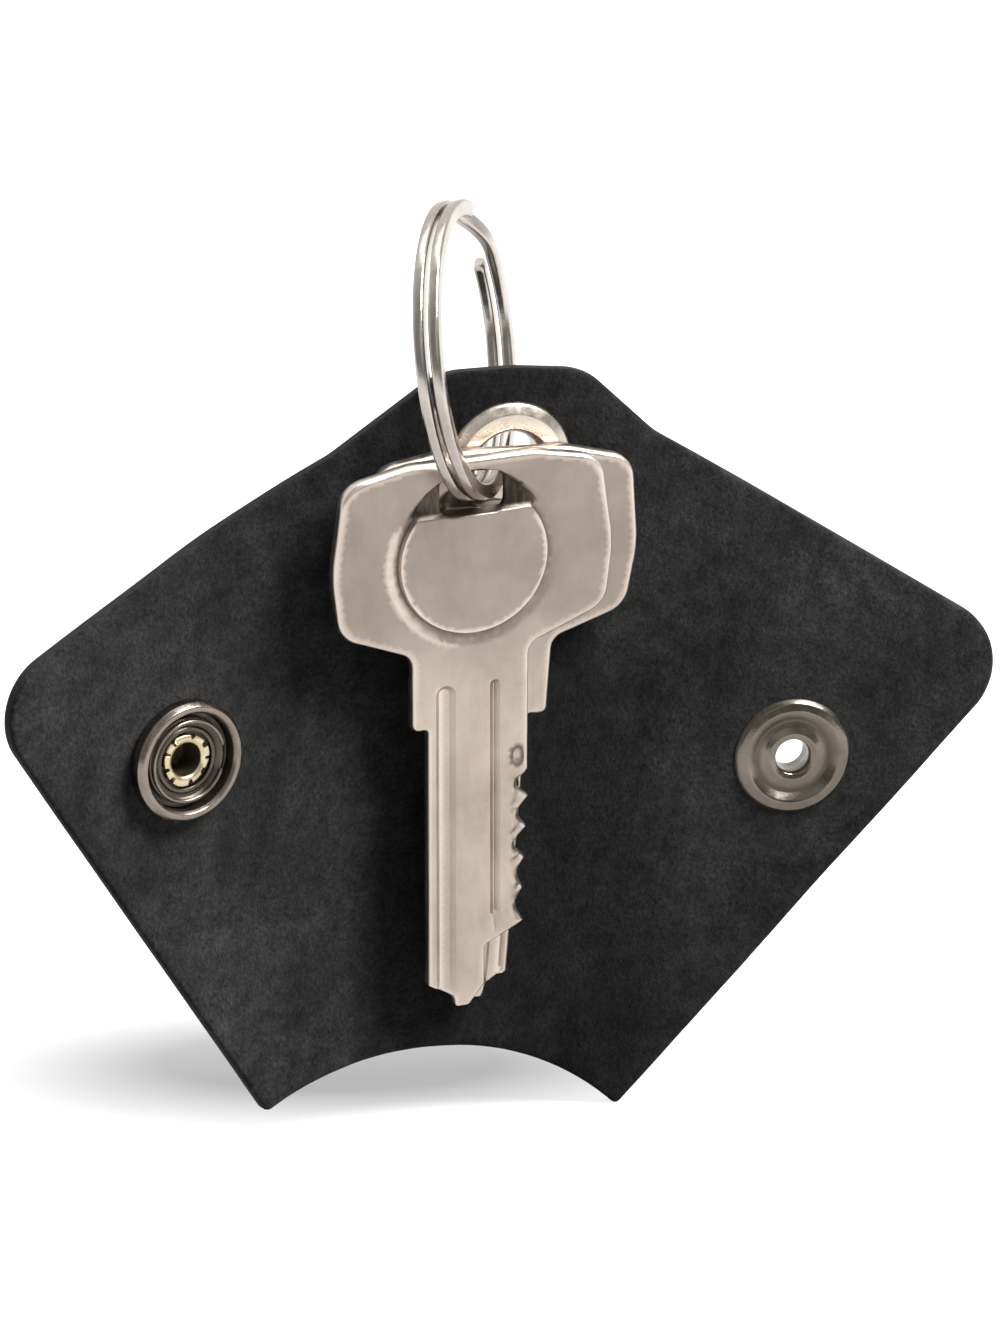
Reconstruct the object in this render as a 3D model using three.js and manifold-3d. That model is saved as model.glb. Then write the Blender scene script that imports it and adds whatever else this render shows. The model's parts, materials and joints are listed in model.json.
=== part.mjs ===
// Key organizer: a butterfly-shaped leather cover with an eyelet, a snap on its two wings,
// a split ring through the eyelet and two keys on the ring. Millimetres, +Z up, -Y towards the viewer.
// The origin is the inside of the ring's top, where the organizer hangs.
import * as THREE from 'three';
import { mergeVertices } from 'three/addons/utils/BufferGeometryUtils.js';
import Module from 'manifold-3d';

// Driving dimensions of the cover, measured flat from the eyelet: u outwards, v upwards
const LEATHER = 1.7;
const LOBE_TOP = 9.9;
const LOBE_CORNER = { u: 7.7, v: 9.5, r: 7 };
const RIGHT_HALF = {
  neck: { u: 15.9, v: 2.75, r: 8 }, wing: { u: 57.4, v: -19.6, r: 7 }, tip: { u: 18.7, v: -69.6, r: 1 },
};
const LEFT_HALF = {
  neck: { u: 18.5, v: 1.1, r: 8 }, wing: { u: 56.5, v: -20.6, r: 6.5 }, tip: { u: 19.7, v: -68.1, r: 1 },
};
const ARCH_TOP = -62.7;
const ARCH_STEPS = 7;

// Folds: lines that converge downwards. half is the spine's half width at FOLD_HEIGHT, inside the clear
// height of the closed case on that side, wall the side wall's angle when closed, rest the fold as worn,
// snap the fastener's place on that wing
const FOLD_TILT = THREE.MathUtils.degToRad(13);
const FOLD_HEIGHT = -30;
const FOLD_GAP = 0.3;
const RIGHT_FOLD = { half: 12.6, inside: 6, wall: 90, rest: 9, snap: { u: 33.5, v: -31.4 } };
const LEFT_FOLD = { half: 14.4, inside: 10.4, wall: 80, rest: 15, snap: { u: 33, v: -28.7 } };
const COVER_SWING = THREE.MathUtils.degToRad(5.9);

// Eyelet and snap fasteners
const FIT = 0.25;
const EYELET_HOLE = 3.5;
const EYELET_TUBE = 3.95;
const EYELET_FLANGE = 6.65;
const SNAP_RADIUS = 6.2;
const POST_TUBE = 2.1;
const POST_BORE = 1.7;
const POST_NOTCHES = 8;
const ROUND_STEPS = 32;

// Split ring: flat wire wound almost twice, with one jog between the layers near the ring's top, in degrees
const RING_RADIUS = 14;
const WIRE_HEIGHT = 1.7;
const WIRE_WIDTH = 1.1;
const WIRE_GAP = 0.45;
const WIRE_EDGE = 0.3;
const JOG_START = 320;
const JOG_END = 352;
const JOG_TURN = THREE.MathUtils.degToRad(70);
const RING_STEP = 8;
const RING_YAW = THREE.MathUtils.degToRad(-33);
const RING_TILT = THREE.MathUtils.degToRad(-9);
const EYELET_ON_RING = THREE.MathUtils.degToRad(15);
const EYELET_SHIFT = { x: 1, z: 0.45 };

// Keys: outline measured from the middle of the slot
const KEY_THICK = 1.6;
const BACK_KEY = {
  depth: 2.2, shift: 1.55, lean: 4.5, flipped: true, edge: 4.4, crest: 3.8, valleys: [2.8, 3, 2.6, 2.8, 2.5],
};
const FRONT_KEY = {
  depth: 4.2, shift: -1.1, lean: 0, flipped: false, edge: 4.85, crest: 6.2, valleys: [4.9, 5.1, 4.7, 5, 4.8],
};
const SLOT = { w: 6.8, h: 4.3, r: 1.2 };
const RECESS = { r: 7.6, drop: -5, depth: 0.45 };
const MEDALLION = { r: 8.05, v: -6.9, rise: 0.3, bevel: 0.35 };
const GROOVE_DEPTH = 0.45;
const WIDE_GROOVE = { u: -3, w: 2.1, top: -20, bottom: -60 };
const THIN_GROOVE = { u: 2.2, w: 1, top: -20, bottom: -48 };
const BACK_GROOVE = { u: -0.4, w: 1.5, top: -20, bottom: -60 };
const CUTS = { top: -30.2, pitch: 3.3 };
const LEDGE = { u: 3.9, top: -30.5, bottom: -47, depth: 0.8 };

const wasm = await Module();
wasm.setup();

// Materials, one function each so that every mesh has its own
const leather = () => new THREE.MeshStandardMaterial({ color: '#2c2a29', roughness: 0.95, metalness: 0 });
const nickel = () => new THREE.MeshStandardMaterial({ color: '#bdb6aa', roughness: 0.3, metalness: 1 });
const gunmetal = () => new THREE.MeshStandardMaterial({ color: '#6b6861', roughness: 0.35, metalness: 1 });
const brass = () => new THREE.MeshStandardMaterial({ color: '#c8ab72', roughness: 0.35, metalness: 1 });

// Turns a closed three.js geometry into a solid, facing outwards
function solid(geometry) {
  const plain = geometry.clone();
  plain.deleteAttribute('normal');
  plain.deleteAttribute('uv');
  const merged = mergeVertices(plain, 1e-4);
  const points = merged.attributes.position.array;
  const triangles = Uint32Array.from(merged.index.array);
  if (signedVolume(points, triangles) < 0) {
    for (let i = 0; i < triangles.length; i += 3) {
      [triangles[i], triangles[i + 1]] = [triangles[i + 1], triangles[i]];
    }
  }
  const mesh = new wasm.Mesh({ numProp: 3, vertProperties: Float32Array.from(points), triVerts: triangles });
  return new wasm.Manifold(mesh);
}

function signedVolume(points, triangles) {
  const a = new THREE.Vector3();
  const b = new THREE.Vector3();
  const c = new THREE.Vector3();
  let sum = 0;
  for (let i = 0; i < triangles.length; i += 3) {
    a.fromArray(points, 3 * triangles[i]);
    b.fromArray(points, 3 * triangles[i + 1]);
    c.fromArray(points, 3 * triangles[i + 2]);
    sum += a.dot(b.cross(c)) / 6;
  }
  return sum;
}

function meshOf(name, body, material) {
  const data = body.getMesh();
  const geometry = new THREE.BufferGeometry();
  geometry.setAttribute('position', new THREE.BufferAttribute(Float32Array.from(data.vertProperties), 3));
  geometry.setIndex(new THREE.BufferAttribute(Uint32Array.from(data.triVerts), 1));
  geometry.computeVertexNormals();
  const mesh = new THREE.Mesh(geometry, material);
  mesh.name = name;
  return mesh;
}

// A closed outline whose corners { u, v, r } are rounded by arcs of radius r
function roundedOutline(corners) {
  const shape = new THREE.Shape();
  corners.forEach((corner, i) => {
    const at = new THREE.Vector2(corner.u, corner.v);
    const before = corners[(i + corners.length - 1) % corners.length];
    const after = corners[(i + 1) % corners.length];
    const back = new THREE.Vector2(before.u, before.v).sub(at).normalize();
    const ahead = new THREE.Vector2(after.u, after.v).sub(at).normalize();
    const half = Math.acos(THREE.MathUtils.clamp(back.dot(ahead), -1, 1)) / 2;
    const reach = (corner.r ?? 0) / Math.tan(half);
    const start = at.clone().addScaledVector(back, reach);
    if (i === 0) shape.moveTo(start.x, start.y);
    else shape.lineTo(start.x, start.y);
    if (!corner.r) return;
    const centre = back.clone().add(ahead).normalize().multiplyScalar(corner.r / Math.sin(half)).add(at);
    const end = at.clone().addScaledVector(ahead, reach);
    const clockwise = back.cross(ahead) > 0;
    const from = Math.atan2(start.y - centre.y, start.x - centre.x);
    const to = Math.atan2(end.y - centre.y, end.x - centre.x);
    shape.absarc(centre.x, centre.y, corner.r, from, to, clockwise);
  });
  shape.closePath();
  return shape;
}

// A plate standing in the XZ plane, from y = front to y = front + thickness
function plate(shape, front, thickness, curveSegments = 6) {
  const geometry = new THREE.ExtrudeGeometry(shape, { depth: thickness, bevelEnabled: false, curveSegments });
  geometry.rotateX(Math.PI / 2);
  geometry.translate(0, front + thickness, 0);
  return solid(geometry);
}

// A body of revolution about the Y axis, from a closed profile of [radius, y]
function turned(profile, steps = ROUND_STEPS) {
  const points = profile.map(([r, y]) => new THREE.Vector2(r, y));
  points.push(points[0].clone());
  return solid(new THREE.LatheGeometry(points, steps));
}

function drilled(radius, u, v) {
  const geometry = new THREE.CylinderGeometry(radius, radius, 6 * LEATHER, ROUND_STEPS);
  geometry.translate(u, 0, v);
  return solid(geometry);
}

// One half of the cover's flat pattern, from the lobe's corner round to the arch's top
function halfEdge({ neck, wing, tip }) {
  const rise = ARCH_TOP - tip.v;
  const radius = (tip.u ** 2 + rise ** 2) / (2 * rise);
  const centre = ARCH_TOP - radius;
  const reach = Math.atan2(tip.u, tip.v - centre);
  const arch = [];
  for (let i = 1; i < ARCH_STEPS; i++) {
    const angle = reach * (1 - i / ARCH_STEPS);
    arch.push({ u: radius * Math.sin(angle), v: centre + radius * Math.cos(angle) });
  }
  return [LOBE_CORNER, neck, wing, tip, ...arch];
}

function coverOutline() {
  const left = halfEdge(LEFT_HALF).reverse().map((c) => ({ ...c, u: -c.u }));
  return roundedOutline([{ u: 0, v: LOBE_TOP }, ...halfEdge(RIGHT_HALF), { u: 0, v: ARCH_TOP }, ...left]);
}

// A side's two fold lines, as distances across them from a line through the cover's middle at FOLD_HEIGHT
function foldLines({ half, inside, wall }) {
  const width = inside / Math.sin(THREE.MathUtils.degToRad(wall));
  return { first: half, second: half + width };
}

// A long block over one side's stretch between two distances across the folds
function foldStretch(side, from, to) {
  const long = 400;
  const geometry = new THREE.BoxGeometry(to - from, 6 * LEATHER, long);
  geometry.translate((from + to) / 2, 0, 0);
  geometry.rotateY(FOLD_TILT);
  geometry.translate(0, 0, FOLD_HEIGHT);
  if (side < 0) geometry.scale(-1, 1, 1);
  return solid(geometry);
}

// Groups whose child coordinates stay those of the flat cover, turned about one fold line
function hinge(side, across, degrees) {
  const pivot = new THREE.Vector3(side * Math.cos(FOLD_TILT), 0, -Math.sin(FOLD_TILT)).multiplyScalar(across);
  pivot.z += FOLD_HEIGHT;
  const line = new THREE.Vector3(side * Math.sin(FOLD_TILT), 0, Math.cos(FOLD_TILT));
  const axis = line.multiplyScalar(-side);
  const outer = new THREE.Group();
  outer.position.copy(pivot);
  outer.quaternion.setFromAxisAngle(axis, THREE.MathUtils.degToRad(degrees));
  outer.userData = { axis };
  const flat = new THREE.Group();
  flat.position.copy(pivot).negate();
  outer.add(flat);
  return { outer, flat };
}

// Eyelet, seen from the inner face as a rolled flange
const eyeletBarrel = () => turned([
  [EYELET_HOLE, 0.9], [EYELET_HOLE + 0.05, -0.3], [EYELET_HOLE + 0.3, -0.85], [4.75, -1.1], [5.75, -0.98],
  [6.4, -0.62], [EYELET_FLANGE, -FIT], [EYELET_TUBE, -FIT], [EYELET_TUBE, LEATHER + 1], [4.9, LEATHER + 1],
  [5.05, LEATHER + 1.2], [4.5, LEATHER + 1.45], [3.8, LEATHER + 1.35], [EYELET_HOLE + 0.05, LEATHER + 1],
], 40);

const eyeletWasher = () => turned([
  [EYELET_TUBE + FIT, LEATHER + FIT], [6.5, LEATHER + FIT], [6.5, LEATHER + 0.5], [6.1, LEATHER + 0.75],
  [EYELET_TUBE + FIT, LEATHER + 0.75],
], 40);

// Left snap: cap and post on the outside, socket with its ring spring on the inside
const capShell = () => turned([
  [0, LEATHER + 2.4], [2.2, LEATHER + 2.32], [4.2, LEATHER + 2], [5.6, LEATHER + 1.35], [6.2, LEATHER + 0.7],
  [6.1, LEATHER + FIT], [5.6, LEATHER + FIT], [5.45, LEATHER + 0.9], [4.6, LEATHER + 1.5], [0, LEATHER + 1.6],
]);

function capPost() {
  const body = turned([
    [0, LEATHER + 1.3], [4.3, LEATHER + 1.2], [5.1, LEATHER + 0.8], [5.1, LEATHER + FIT],
    [POST_TUBE, LEATHER + FIT], [POST_TUBE, -0.72], [2.65, -0.72], [2.72, -0.9], [2.3, -1.05],
    [POST_BORE + 0.1, -0.95], [POST_BORE, -0.6], [POST_BORE, LEATHER + 0.5], [0, LEATHER + 0.5],
  ]);
  let notched = body;
  for (let i = 0; i < POST_NOTCHES; i++) {
    const notch = new THREE.BoxGeometry(1.2, 0.6, 0.34);
    notch.translate(2.9, -1.05, 0);
    notch.rotateY((2 * Math.PI * i) / POST_NOTCHES);
    notched = notched.subtract(solid(notch));
  }
  return notched;
}

const socketHousing = () => turned([
  [POST_TUBE + FIT, -0.15], [5.7, -0.15], [SNAP_RADIUS, -0.5], [SNAP_RADIUS, -1.45], [5.8, -1.92], [5.15, -2.05],
  [4.7, -1.75], [4.6, -1.3], [4.6, -0.45], [POST_TUBE + FIT, -0.45],
]);

const socketBase = () => turned([
  [3.05, -0.68], [4.35, -0.68], [4.35, -1], [4.1, -1], [4.05, -0.9], [3.4, -0.9], [3.3, -1.05], [3.05, -1.05],
]);

// Ring spring: one open loop of round wire in the socket
function socketSpring() {
  const wire = 0.22;
  const radius = 3.8;
  const open = THREE.MathUtils.degToRad(35);
  const points = [];
  const steps = 30;
  for (let i = 0; i <= steps; i++) {
    const angle = open / 2 + ((2 * Math.PI - open) * i) / steps;
    points.push(new THREE.Vector3(radius * Math.cos(angle), -1.42, radius * Math.sin(angle)));
  }
  const section = new THREE.Shape().absarc(0, 0, wire, 0, 2 * Math.PI);
  const path = new THREE.CatmullRomCurve3(points);
  return solid(new THREE.ExtrudeGeometry(section, { steps: 40, extrudePath: path, curveSegments: 8 }));
}

// Right snap: post flange on the inside, stud on the outside
const studPost = () => turned([
  [POST_BORE, -0.3], [2, -0.55], [2.6, -0.64], [3.3, -0.42], [4, -0.42], [4.8, -0.85], [5.7, -0.65],
  [SNAP_RADIUS, -FIT], [5.8, -0.15], [POST_TUBE, -0.15], [POST_TUBE, LEATHER + 0.7], [2.35, LEATHER + 0.8],
  [2.3, LEATHER + 0.98], [2, LEATHER + 0.98], [POST_BORE, LEATHER + 0.7],
]);

const stud = () => turned([
  [POST_TUBE + FIT, LEATHER + 0.2], [5.6, LEATHER + 0.2], [5.6, LEATHER + 0.5], [3.3, LEATHER + 0.6],
  [3, LEATHER + 0.85], [3.15, LEATHER + 1.2], [2.9, LEATHER + 1.55], [2.4, LEATHER + 1.6], [2.4, LEATHER + 1.4],
  [2.65, LEATHER + 1.2], [2.65, LEATHER + 0.45], [POST_TUBE + FIT, LEATHER + 0.45],
]);

// Ring wire: which layer the wire lies in after turning through an angle, in degrees
const layerPitch = WIRE_WIDTH + WIRE_GAP;
function wireOffset(degrees) {
  return layerPitch * (THREE.MathUtils.smoothstep(degrees, JOG_START, JOG_END) - 0.5);
}

const wireSection = [
  [1, WIRE_EDGE], [1, 1], [WIRE_EDGE, 1], [-WIRE_EDGE, 1], [-1, 1], [-1, WIRE_EDGE],
  [-1, -WIRE_EDGE], [-1, -1], [-WIRE_EDGE, -1], [WIRE_EDGE, -1], [1, -1], [1, -WIRE_EDGE],
].filter(([a, b]) => Math.abs(a) !== 1 || Math.abs(b) !== 1);

// One unbroken wire: rings of section points, closed by a cap at each end
function splitRing() {
  const total = JOG_START + 360;
  const rings = Math.ceil(total / RING_STEP);
  const sides = wireSection.length;
  const points = [];
  for (let i = 0; i <= rings; i++) {
    const degrees = (total * i) / rings;
    const angle = THREE.MathUtils.degToRad(degrees) + JOG_TURN;
    for (const [a, b] of wireSection) {
      const radius = RING_RADIUS + (a * WIRE_HEIGHT) / 2;
      const x = wireOffset(degrees) + (b * WIRE_WIDTH) / 2;
      points.push(new THREE.Vector3(x, radius * Math.sin(angle), radius * Math.cos(angle)));
    }
  }
  const triangles = [];
  for (let i = 0; i < rings; i++) {
    for (let k = 0; k < sides; k++) {
      const a = i * sides + k;
      const b = i * sides + ((k + 1) % sides);
      triangles.push(a, b, a + sides, b, b + sides, a + sides);
    }
  }
  const last = rings * sides;
  for (let k = 1; k < sides - 1; k++) {
    triangles.push(0, k + 1, k, last, last + k, last + k + 1);
  }
  console.log(`split ring: least gap to itself ${leastGap(points, sides).toFixed(2)} mm`);
  const geometry = new THREE.BufferGeometry().setFromPoints(points);
  geometry.setIndex(triangles);
  return solid(geometry);
}

// Least distance between points of the wire that lie more than a quarter turn apart along it
function leastGap(points, sides) {
  const apart = Math.round(90 / RING_STEP) * sides;
  let least = Infinity;
  for (let i = 0; i < points.length; i++) {
    for (let k = i + apart; k < points.length; k++) {
      least = Math.min(least, points[i].distanceTo(points[k]));
    }
  }
  return least;
}

// A key: bow with a plain disc and a slot, grooved blade, cut edge
function keyOutline({ edge, crest, valleys }) {
  const cutEdge = [{ u: 5.8, v: CUTS.top }];
  valleys.forEach((depth, i) => {
    const v = CUTS.top - CUTS.pitch * (i + 0.5);
    cutEdge.push({ u: depth, v: v + 0.4 }, { u: depth, v: v - 0.4 });
    cutEdge.push({ u: crest - 0.2 * i, v: CUTS.top - CUTS.pitch * (i + 1) });
  });
  const corners = [
    { u: -6.5, v: 3.7, r: 6 }, { u: -13.6, v: 2.2, r: 3 }, { u: -14.9, v: -7, r: 14 },
    { u: -14.1, v: -13.6, r: 3 }, { u: -6.5, v: -16.6, r: 1.6 }, { u: -6.5, v: -24.6, r: 0.6 },
    { u: -edge, v: -24.6, r: 0.3 }, { u: -edge, v: -52.4 }, { u: -2.2, v: -54 }, { u: -1.9, v: -55.1, r: 0.3 },
    { u: -0.5, v: -55.1, r: 0.5 }, { u: 1.2, v: -52.9 }, { u: 1.2, v: -48.8 }, ...cutEdge.reverse(),
    { u: 5.9, v: -16.8, r: 1.6 }, { u: 14.1, v: -13.6, r: 3 }, { u: 14.9, v: -7, r: 14 },
    { u: 13.6, v: 2.2, r: 3 }, { u: 6.5, v: 3.7, r: 6 },
  ];
  return roundedOutline(corners);
}

function groove({ u, w, top, bottom }, front) {
  const geometry = new THREE.BoxGeometry(w, 2 * GROOVE_DEPTH, top - bottom);
  geometry.translate(u, front, (top + bottom) / 2);
  return solid(geometry);
}

function keyBody(cuts) {
  const front = -KEY_THICK / 2;
  const disc = new THREE.CylinderGeometry(MEDALLION.r, MEDALLION.r - MEDALLION.bevel, MEDALLION.rise + 0.2, 36);
  disc.translate(0, front + 0.1 - MEDALLION.rise / 2, MEDALLION.v);
  const slotCorners = [[1, 1], [-1, 1], [-1, -1], [1, -1]].map(([a, b]) => (
    { u: (a * SLOT.w) / 2, v: (b * SLOT.h) / 2, r: SLOT.r }));
  const slot = plate(roundedOutline(slotCorners), -2 * KEY_THICK, 4 * KEY_THICK);
  const dip = Math.asin((-SLOT.h / 2 - RECESS.drop) / RECESS.r);
  const recess = new THREE.Shape().absarc(0, RECESS.drop, RECESS.r, dip, Math.PI - dip);
  const ledge = new THREE.BoxGeometry(LEDGE.u, 2 * LEDGE.depth, LEDGE.top - LEDGE.bottom);
  ledge.translate(1.5 * LEDGE.u, front, (LEDGE.top + LEDGE.bottom) / 2);
  return plate(keyOutline(cuts), front, KEY_THICK)
    .add(solid(disc))
    .subtract(solid(ledge))
    .subtract(plate(recess, front - 1, 1 + RECESS.depth))
    .subtract(slot)
    .subtract(groove(WIDE_GROOVE, front))
    .subtract(groove(THIN_GROOVE, front))
    .subtract(groove(BACK_GROOVE, -front));
}

// Assembly: the ring first, then what hangs on it
const organizer = new THREE.Group();
const ringTurn = new THREE.Quaternion().setFromEuler(new THREE.Euler(0, RING_TILT, RING_YAW, 'ZYX'));
const hangHeight = RING_RADIUS - WIRE_HEIGHT / 2;
const ringCentre = new THREE.Vector3(0, 0, -hangHeight).applyQuaternion(ringTurn);
const onRing = (back) => new THREE.Vector3(0, RING_RADIUS * Math.sin(back), -RING_RADIUS * Math.cos(back))
  .applyQuaternion(ringTurn).add(ringCentre);

const ring = meshOf('split_ring', splitRing(), nickel());
ring.position.copy(ringCentre);
ring.quaternion.copy(ringTurn);
organizer.add(ring);

const cover = new THREE.Group();
cover.position.copy(onRing(EYELET_ON_RING)).add(new THREE.Vector3(EYELET_SHIFT.x, -LEATHER / 2, EYELET_SHIFT.z));
cover.rotation.y = COVER_SWING;
cover.name = 'cover_swing';
cover.userData = { axis: new THREE.Vector3(0, 1, 0) };
organizer.add(cover);

const rightLines = foldLines(RIGHT_FOLD);
const leftLines = foldLines(LEFT_FOLD);
const setBack = FOLD_GAP / 2;
const far = 100;
const hide = plate(coverOutline(), 0, LEATHER)
  .subtract(drilled(EYELET_TUBE + FIT, 0, 0))
  .subtract(drilled(POST_TUBE + FIT, RIGHT_FOLD.snap.u, RIGHT_FOLD.snap.v))
  .subtract(drilled(POST_TUBE + FIT, -LEFT_FOLD.snap.u, LEFT_FOLD.snap.v));

const spine = hide
  .subtract(foldStretch(1, rightLines.first - setBack, far))
  .subtract(foldStretch(-1, leftLines.first - setBack, far));
cover.add(meshOf('spine_panel', spine, leather()));
cover.add(meshOf('eyelet_barrel', eyeletBarrel(), nickel()));
cover.add(meshOf('eyelet_washer', eyeletWasher(), nickel()));

// One side of the cover: a narrow side wall and a wing, hinged along two fold lines
function foldingSide(label, side, lines, { wall, rest, snap }, fasteners) {
  const first = hinge(side, lines.first, (rest * wall) / 180);
  first.outer.name = `${label}_fold`;
  const second = hinge(side, lines.second, (rest * (180 - wall)) / 180);
  second.outer.name = `${label}_wing_fold`;
  const strip = hide.intersect(foldStretch(side, lines.first + setBack, lines.second - setBack));
  const wing = hide.intersect(foldStretch(side, lines.second + setBack, far));
  first.flat.add(meshOf(`${label}_fold_strip`, strip, leather()), second.outer);
  second.flat.add(meshOf(`${label}_wing`, wing, leather()));
  for (const piece of fasteners) {
    piece.position.set(side * snap.u, 0, snap.v);
    second.flat.add(piece);
  }
  return first.outer;
}

cover.add(foldingSide('left', -1, leftLines, LEFT_FOLD, [
  meshOf('snap_cap_shell', capShell(), gunmetal()),
  meshOf('snap_cap_post', capPost(), brass()),
  meshOf('socket_housing', socketHousing(), gunmetal()),
  meshOf('socket_base', socketBase(), gunmetal()),
  meshOf('socket_spring', socketSpring(), nickel()),
]));
cover.add(foldingSide('right', 1, rightLines, RIGHT_FOLD, [
  meshOf('stud_post', studPost(), gunmetal()),
  meshOf('stud', stud(), gunmetal()),
]));

// Keys hang where the ring wire passes at their distance in front of the cover
function hungKey(name, { depth, shift, lean, flipped, ...cuts }) {
  const level = cover.position.y - depth;
  let back = 0;
  for (let i = 0; i < 20; i++) {
    const miss = onRing(back).y - level;
    back -= miss / (RING_RADIUS * Math.cos(RING_YAW));
  }
  const pivot = new THREE.Group();
  pivot.position.copy(onRing(back));
  pivot.rotation.y = THREE.MathUtils.degToRad(lean);
  pivot.name = `${name}_swing`;
  const body = flipped ? keyBody(cuts).mirror([1, 0, 0]) : keyBody(cuts);
  const key = meshOf(name, body, nickel());
  key.position.x = shift;
  pivot.add(key);
  return pivot;
}

organizer.add(hungKey('back_key', BACK_KEY));
organizer.add(hungKey('front_key', FRONT_KEY));

export default organizer;
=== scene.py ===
"""Looks of a fold-over leather key organizer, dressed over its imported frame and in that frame's axes."""

import json
import math

import bmesh
import bpy
import numpy as np
from mathutils import Matrix, Vector, noise
from mathutils.geometry import delaunay_2d_cdt


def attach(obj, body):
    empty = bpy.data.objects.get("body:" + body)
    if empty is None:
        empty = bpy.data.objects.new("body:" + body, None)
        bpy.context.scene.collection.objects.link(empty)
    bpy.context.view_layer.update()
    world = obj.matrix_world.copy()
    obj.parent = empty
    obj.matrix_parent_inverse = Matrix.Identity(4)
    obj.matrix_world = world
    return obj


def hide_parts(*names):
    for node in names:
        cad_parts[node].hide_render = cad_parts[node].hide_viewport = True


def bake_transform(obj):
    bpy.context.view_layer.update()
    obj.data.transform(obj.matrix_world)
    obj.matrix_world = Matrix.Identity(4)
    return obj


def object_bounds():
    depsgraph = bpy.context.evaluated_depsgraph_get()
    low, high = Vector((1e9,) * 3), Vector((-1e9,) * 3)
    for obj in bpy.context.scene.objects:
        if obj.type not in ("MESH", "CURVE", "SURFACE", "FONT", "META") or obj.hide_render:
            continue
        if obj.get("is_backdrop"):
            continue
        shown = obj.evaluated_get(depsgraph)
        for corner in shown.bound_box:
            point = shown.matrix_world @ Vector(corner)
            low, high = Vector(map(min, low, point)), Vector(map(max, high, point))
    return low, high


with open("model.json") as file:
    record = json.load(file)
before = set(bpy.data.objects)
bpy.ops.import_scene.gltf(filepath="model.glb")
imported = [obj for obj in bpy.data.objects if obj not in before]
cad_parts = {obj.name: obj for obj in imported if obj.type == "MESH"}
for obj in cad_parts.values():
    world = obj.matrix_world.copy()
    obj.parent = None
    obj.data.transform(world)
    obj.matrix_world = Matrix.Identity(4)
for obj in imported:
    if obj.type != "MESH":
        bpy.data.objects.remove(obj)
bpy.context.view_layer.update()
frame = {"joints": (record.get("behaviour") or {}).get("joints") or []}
joints = {joint["name"]: joint for joint in frame["joints"]}

MM = 0.001

# Cover, in millimetres of the flat pattern: u outwards from the eyelet, v upwards
LEATHER = 1.7
EDGE_ROUND = 0.45
LOBE_TOP = 9.9
LOBE_CORNER = (7.7, 9.5, 7)
RIGHT_HALF = [(15.9, 2.75, 8), (57.4, -19.6, 7), (18.7, -69.6, 1)]
LEFT_HALF = [(18.5, 1.1, 8), (56.5, -20.6, 6.5), (19.7, -68.1, 1)]
ARCH_TOP = -62.7
MIDDLE_SPAN = (-70, 12)
COVER_ROLL = math.radians(5.9)
SHEET_SPACING = 1.05
OUTLINE_STEP = 0.9
WAVE_LENGTH = 17
WAVE_HEIGHT = 0.35
NAP_LENGTH = 2.1
NAP_HEIGHT = 0.05
SEAT_INSIDE = 0.4
SEAT_SLOPE = 2.2
CALM_REACH = 9

# Folds: distance across the cover, spread of each bend, angles at rest and the snap's place on the wing
FOLD_TILT = math.radians(13)
FOLD_HEIGHT = -30
LEFT_FOLD = {
    "side": -1, "first": 14.4, "second": 24.96, "spread": 5.0, "angles": (6.667, 8.333),
    "snap": (33.0, -28.7),
}
RIGHT_FOLD = {
    "side": 1, "first": 12.6, "second": 18.6, "spread": 2.8, "angles": (4.5, 4.5),
    "snap": (33.5, -31.4),
}
FOLD_LENGTH = 60
BEND_STEP = 0.05
BEND_REACH = 80

# Fasteners: sizes in millimetres, and the notches' half width and softness in radians
FIT = 0.25
INNER_SEAT = FIT - 0.03
OUTER_SEAT = FIT - 0.05
BACK = LEATHER + 0.2
EYELET_HOLE = 3.5
EYELET_TUBE = 3.95
EYELET_FLANGE = 6.65
SNAP_RADIUS = 6.2
POST_TUBE = 2.1
POST_BORE = 1.7
POST_NOTCHES = 9
NOTCH_HALF = 0.035
NOTCH_SOFT = 0.07
NOTCH_DEPTH = 0.42
NOTCH_LIFT = 0.3
PETAL_SWELL = 0.035
TURNED_STEPS = 128
POST_STEPS = 180
SPRING_RADIUS = 4.12
SPRING_WIRE = 0.2
SPRING_DEPTH = -1.42
SPRING_OPENING = math.radians(35)

# Split ring: flat wire wound almost twice, with a jog between its layers
RING_RADIUS = 14
WIRE_HEIGHT = 1.7
WIRE_WIDTH = 1.1
WIRE_GAP = 0.45
WIRE_ROUND = 0.34
WIRE_END = 0.72
WIRE_TAPER = 0.5
JOG_START = 320
JOG_END = 352
JOG_TURN = math.radians(70)
RING_YAW = math.radians(-33)
RING_TILT = math.radians(-9)

# Keys, in millimetres from the middle of the slot: u to the right, v upwards
KEY_THICK = 1.6
KEY_EDGE = 0.48
KEY_SPACING = 0.42
LEAST_WEB = 0.35
FRONT_KEY_SHIFT = -1.1
BACK_KEY_SHIFT = 1.55
BACK_KEY_LEAN = math.radians(4.5)

# Bow: slot (width, height, corner), round-topped recess around it, and the disc with its moat
SLOT = (6.8, 4.3, 1.2)
SLOT_EDGE = 0.2
RECESS_RADIUS = 7.6
RECESS_DROP = -5
RECESS_DEPTH = 0.5
RECESS_WALL = 0.45
DISC_RADIUS = 7.95
DISC_V = -6.9
DISC_RISE = 0.13
DISC_LIP = 0.25
MOAT_WIDTH = 1.2
MOAT_DEPTH = 0.36

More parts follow.
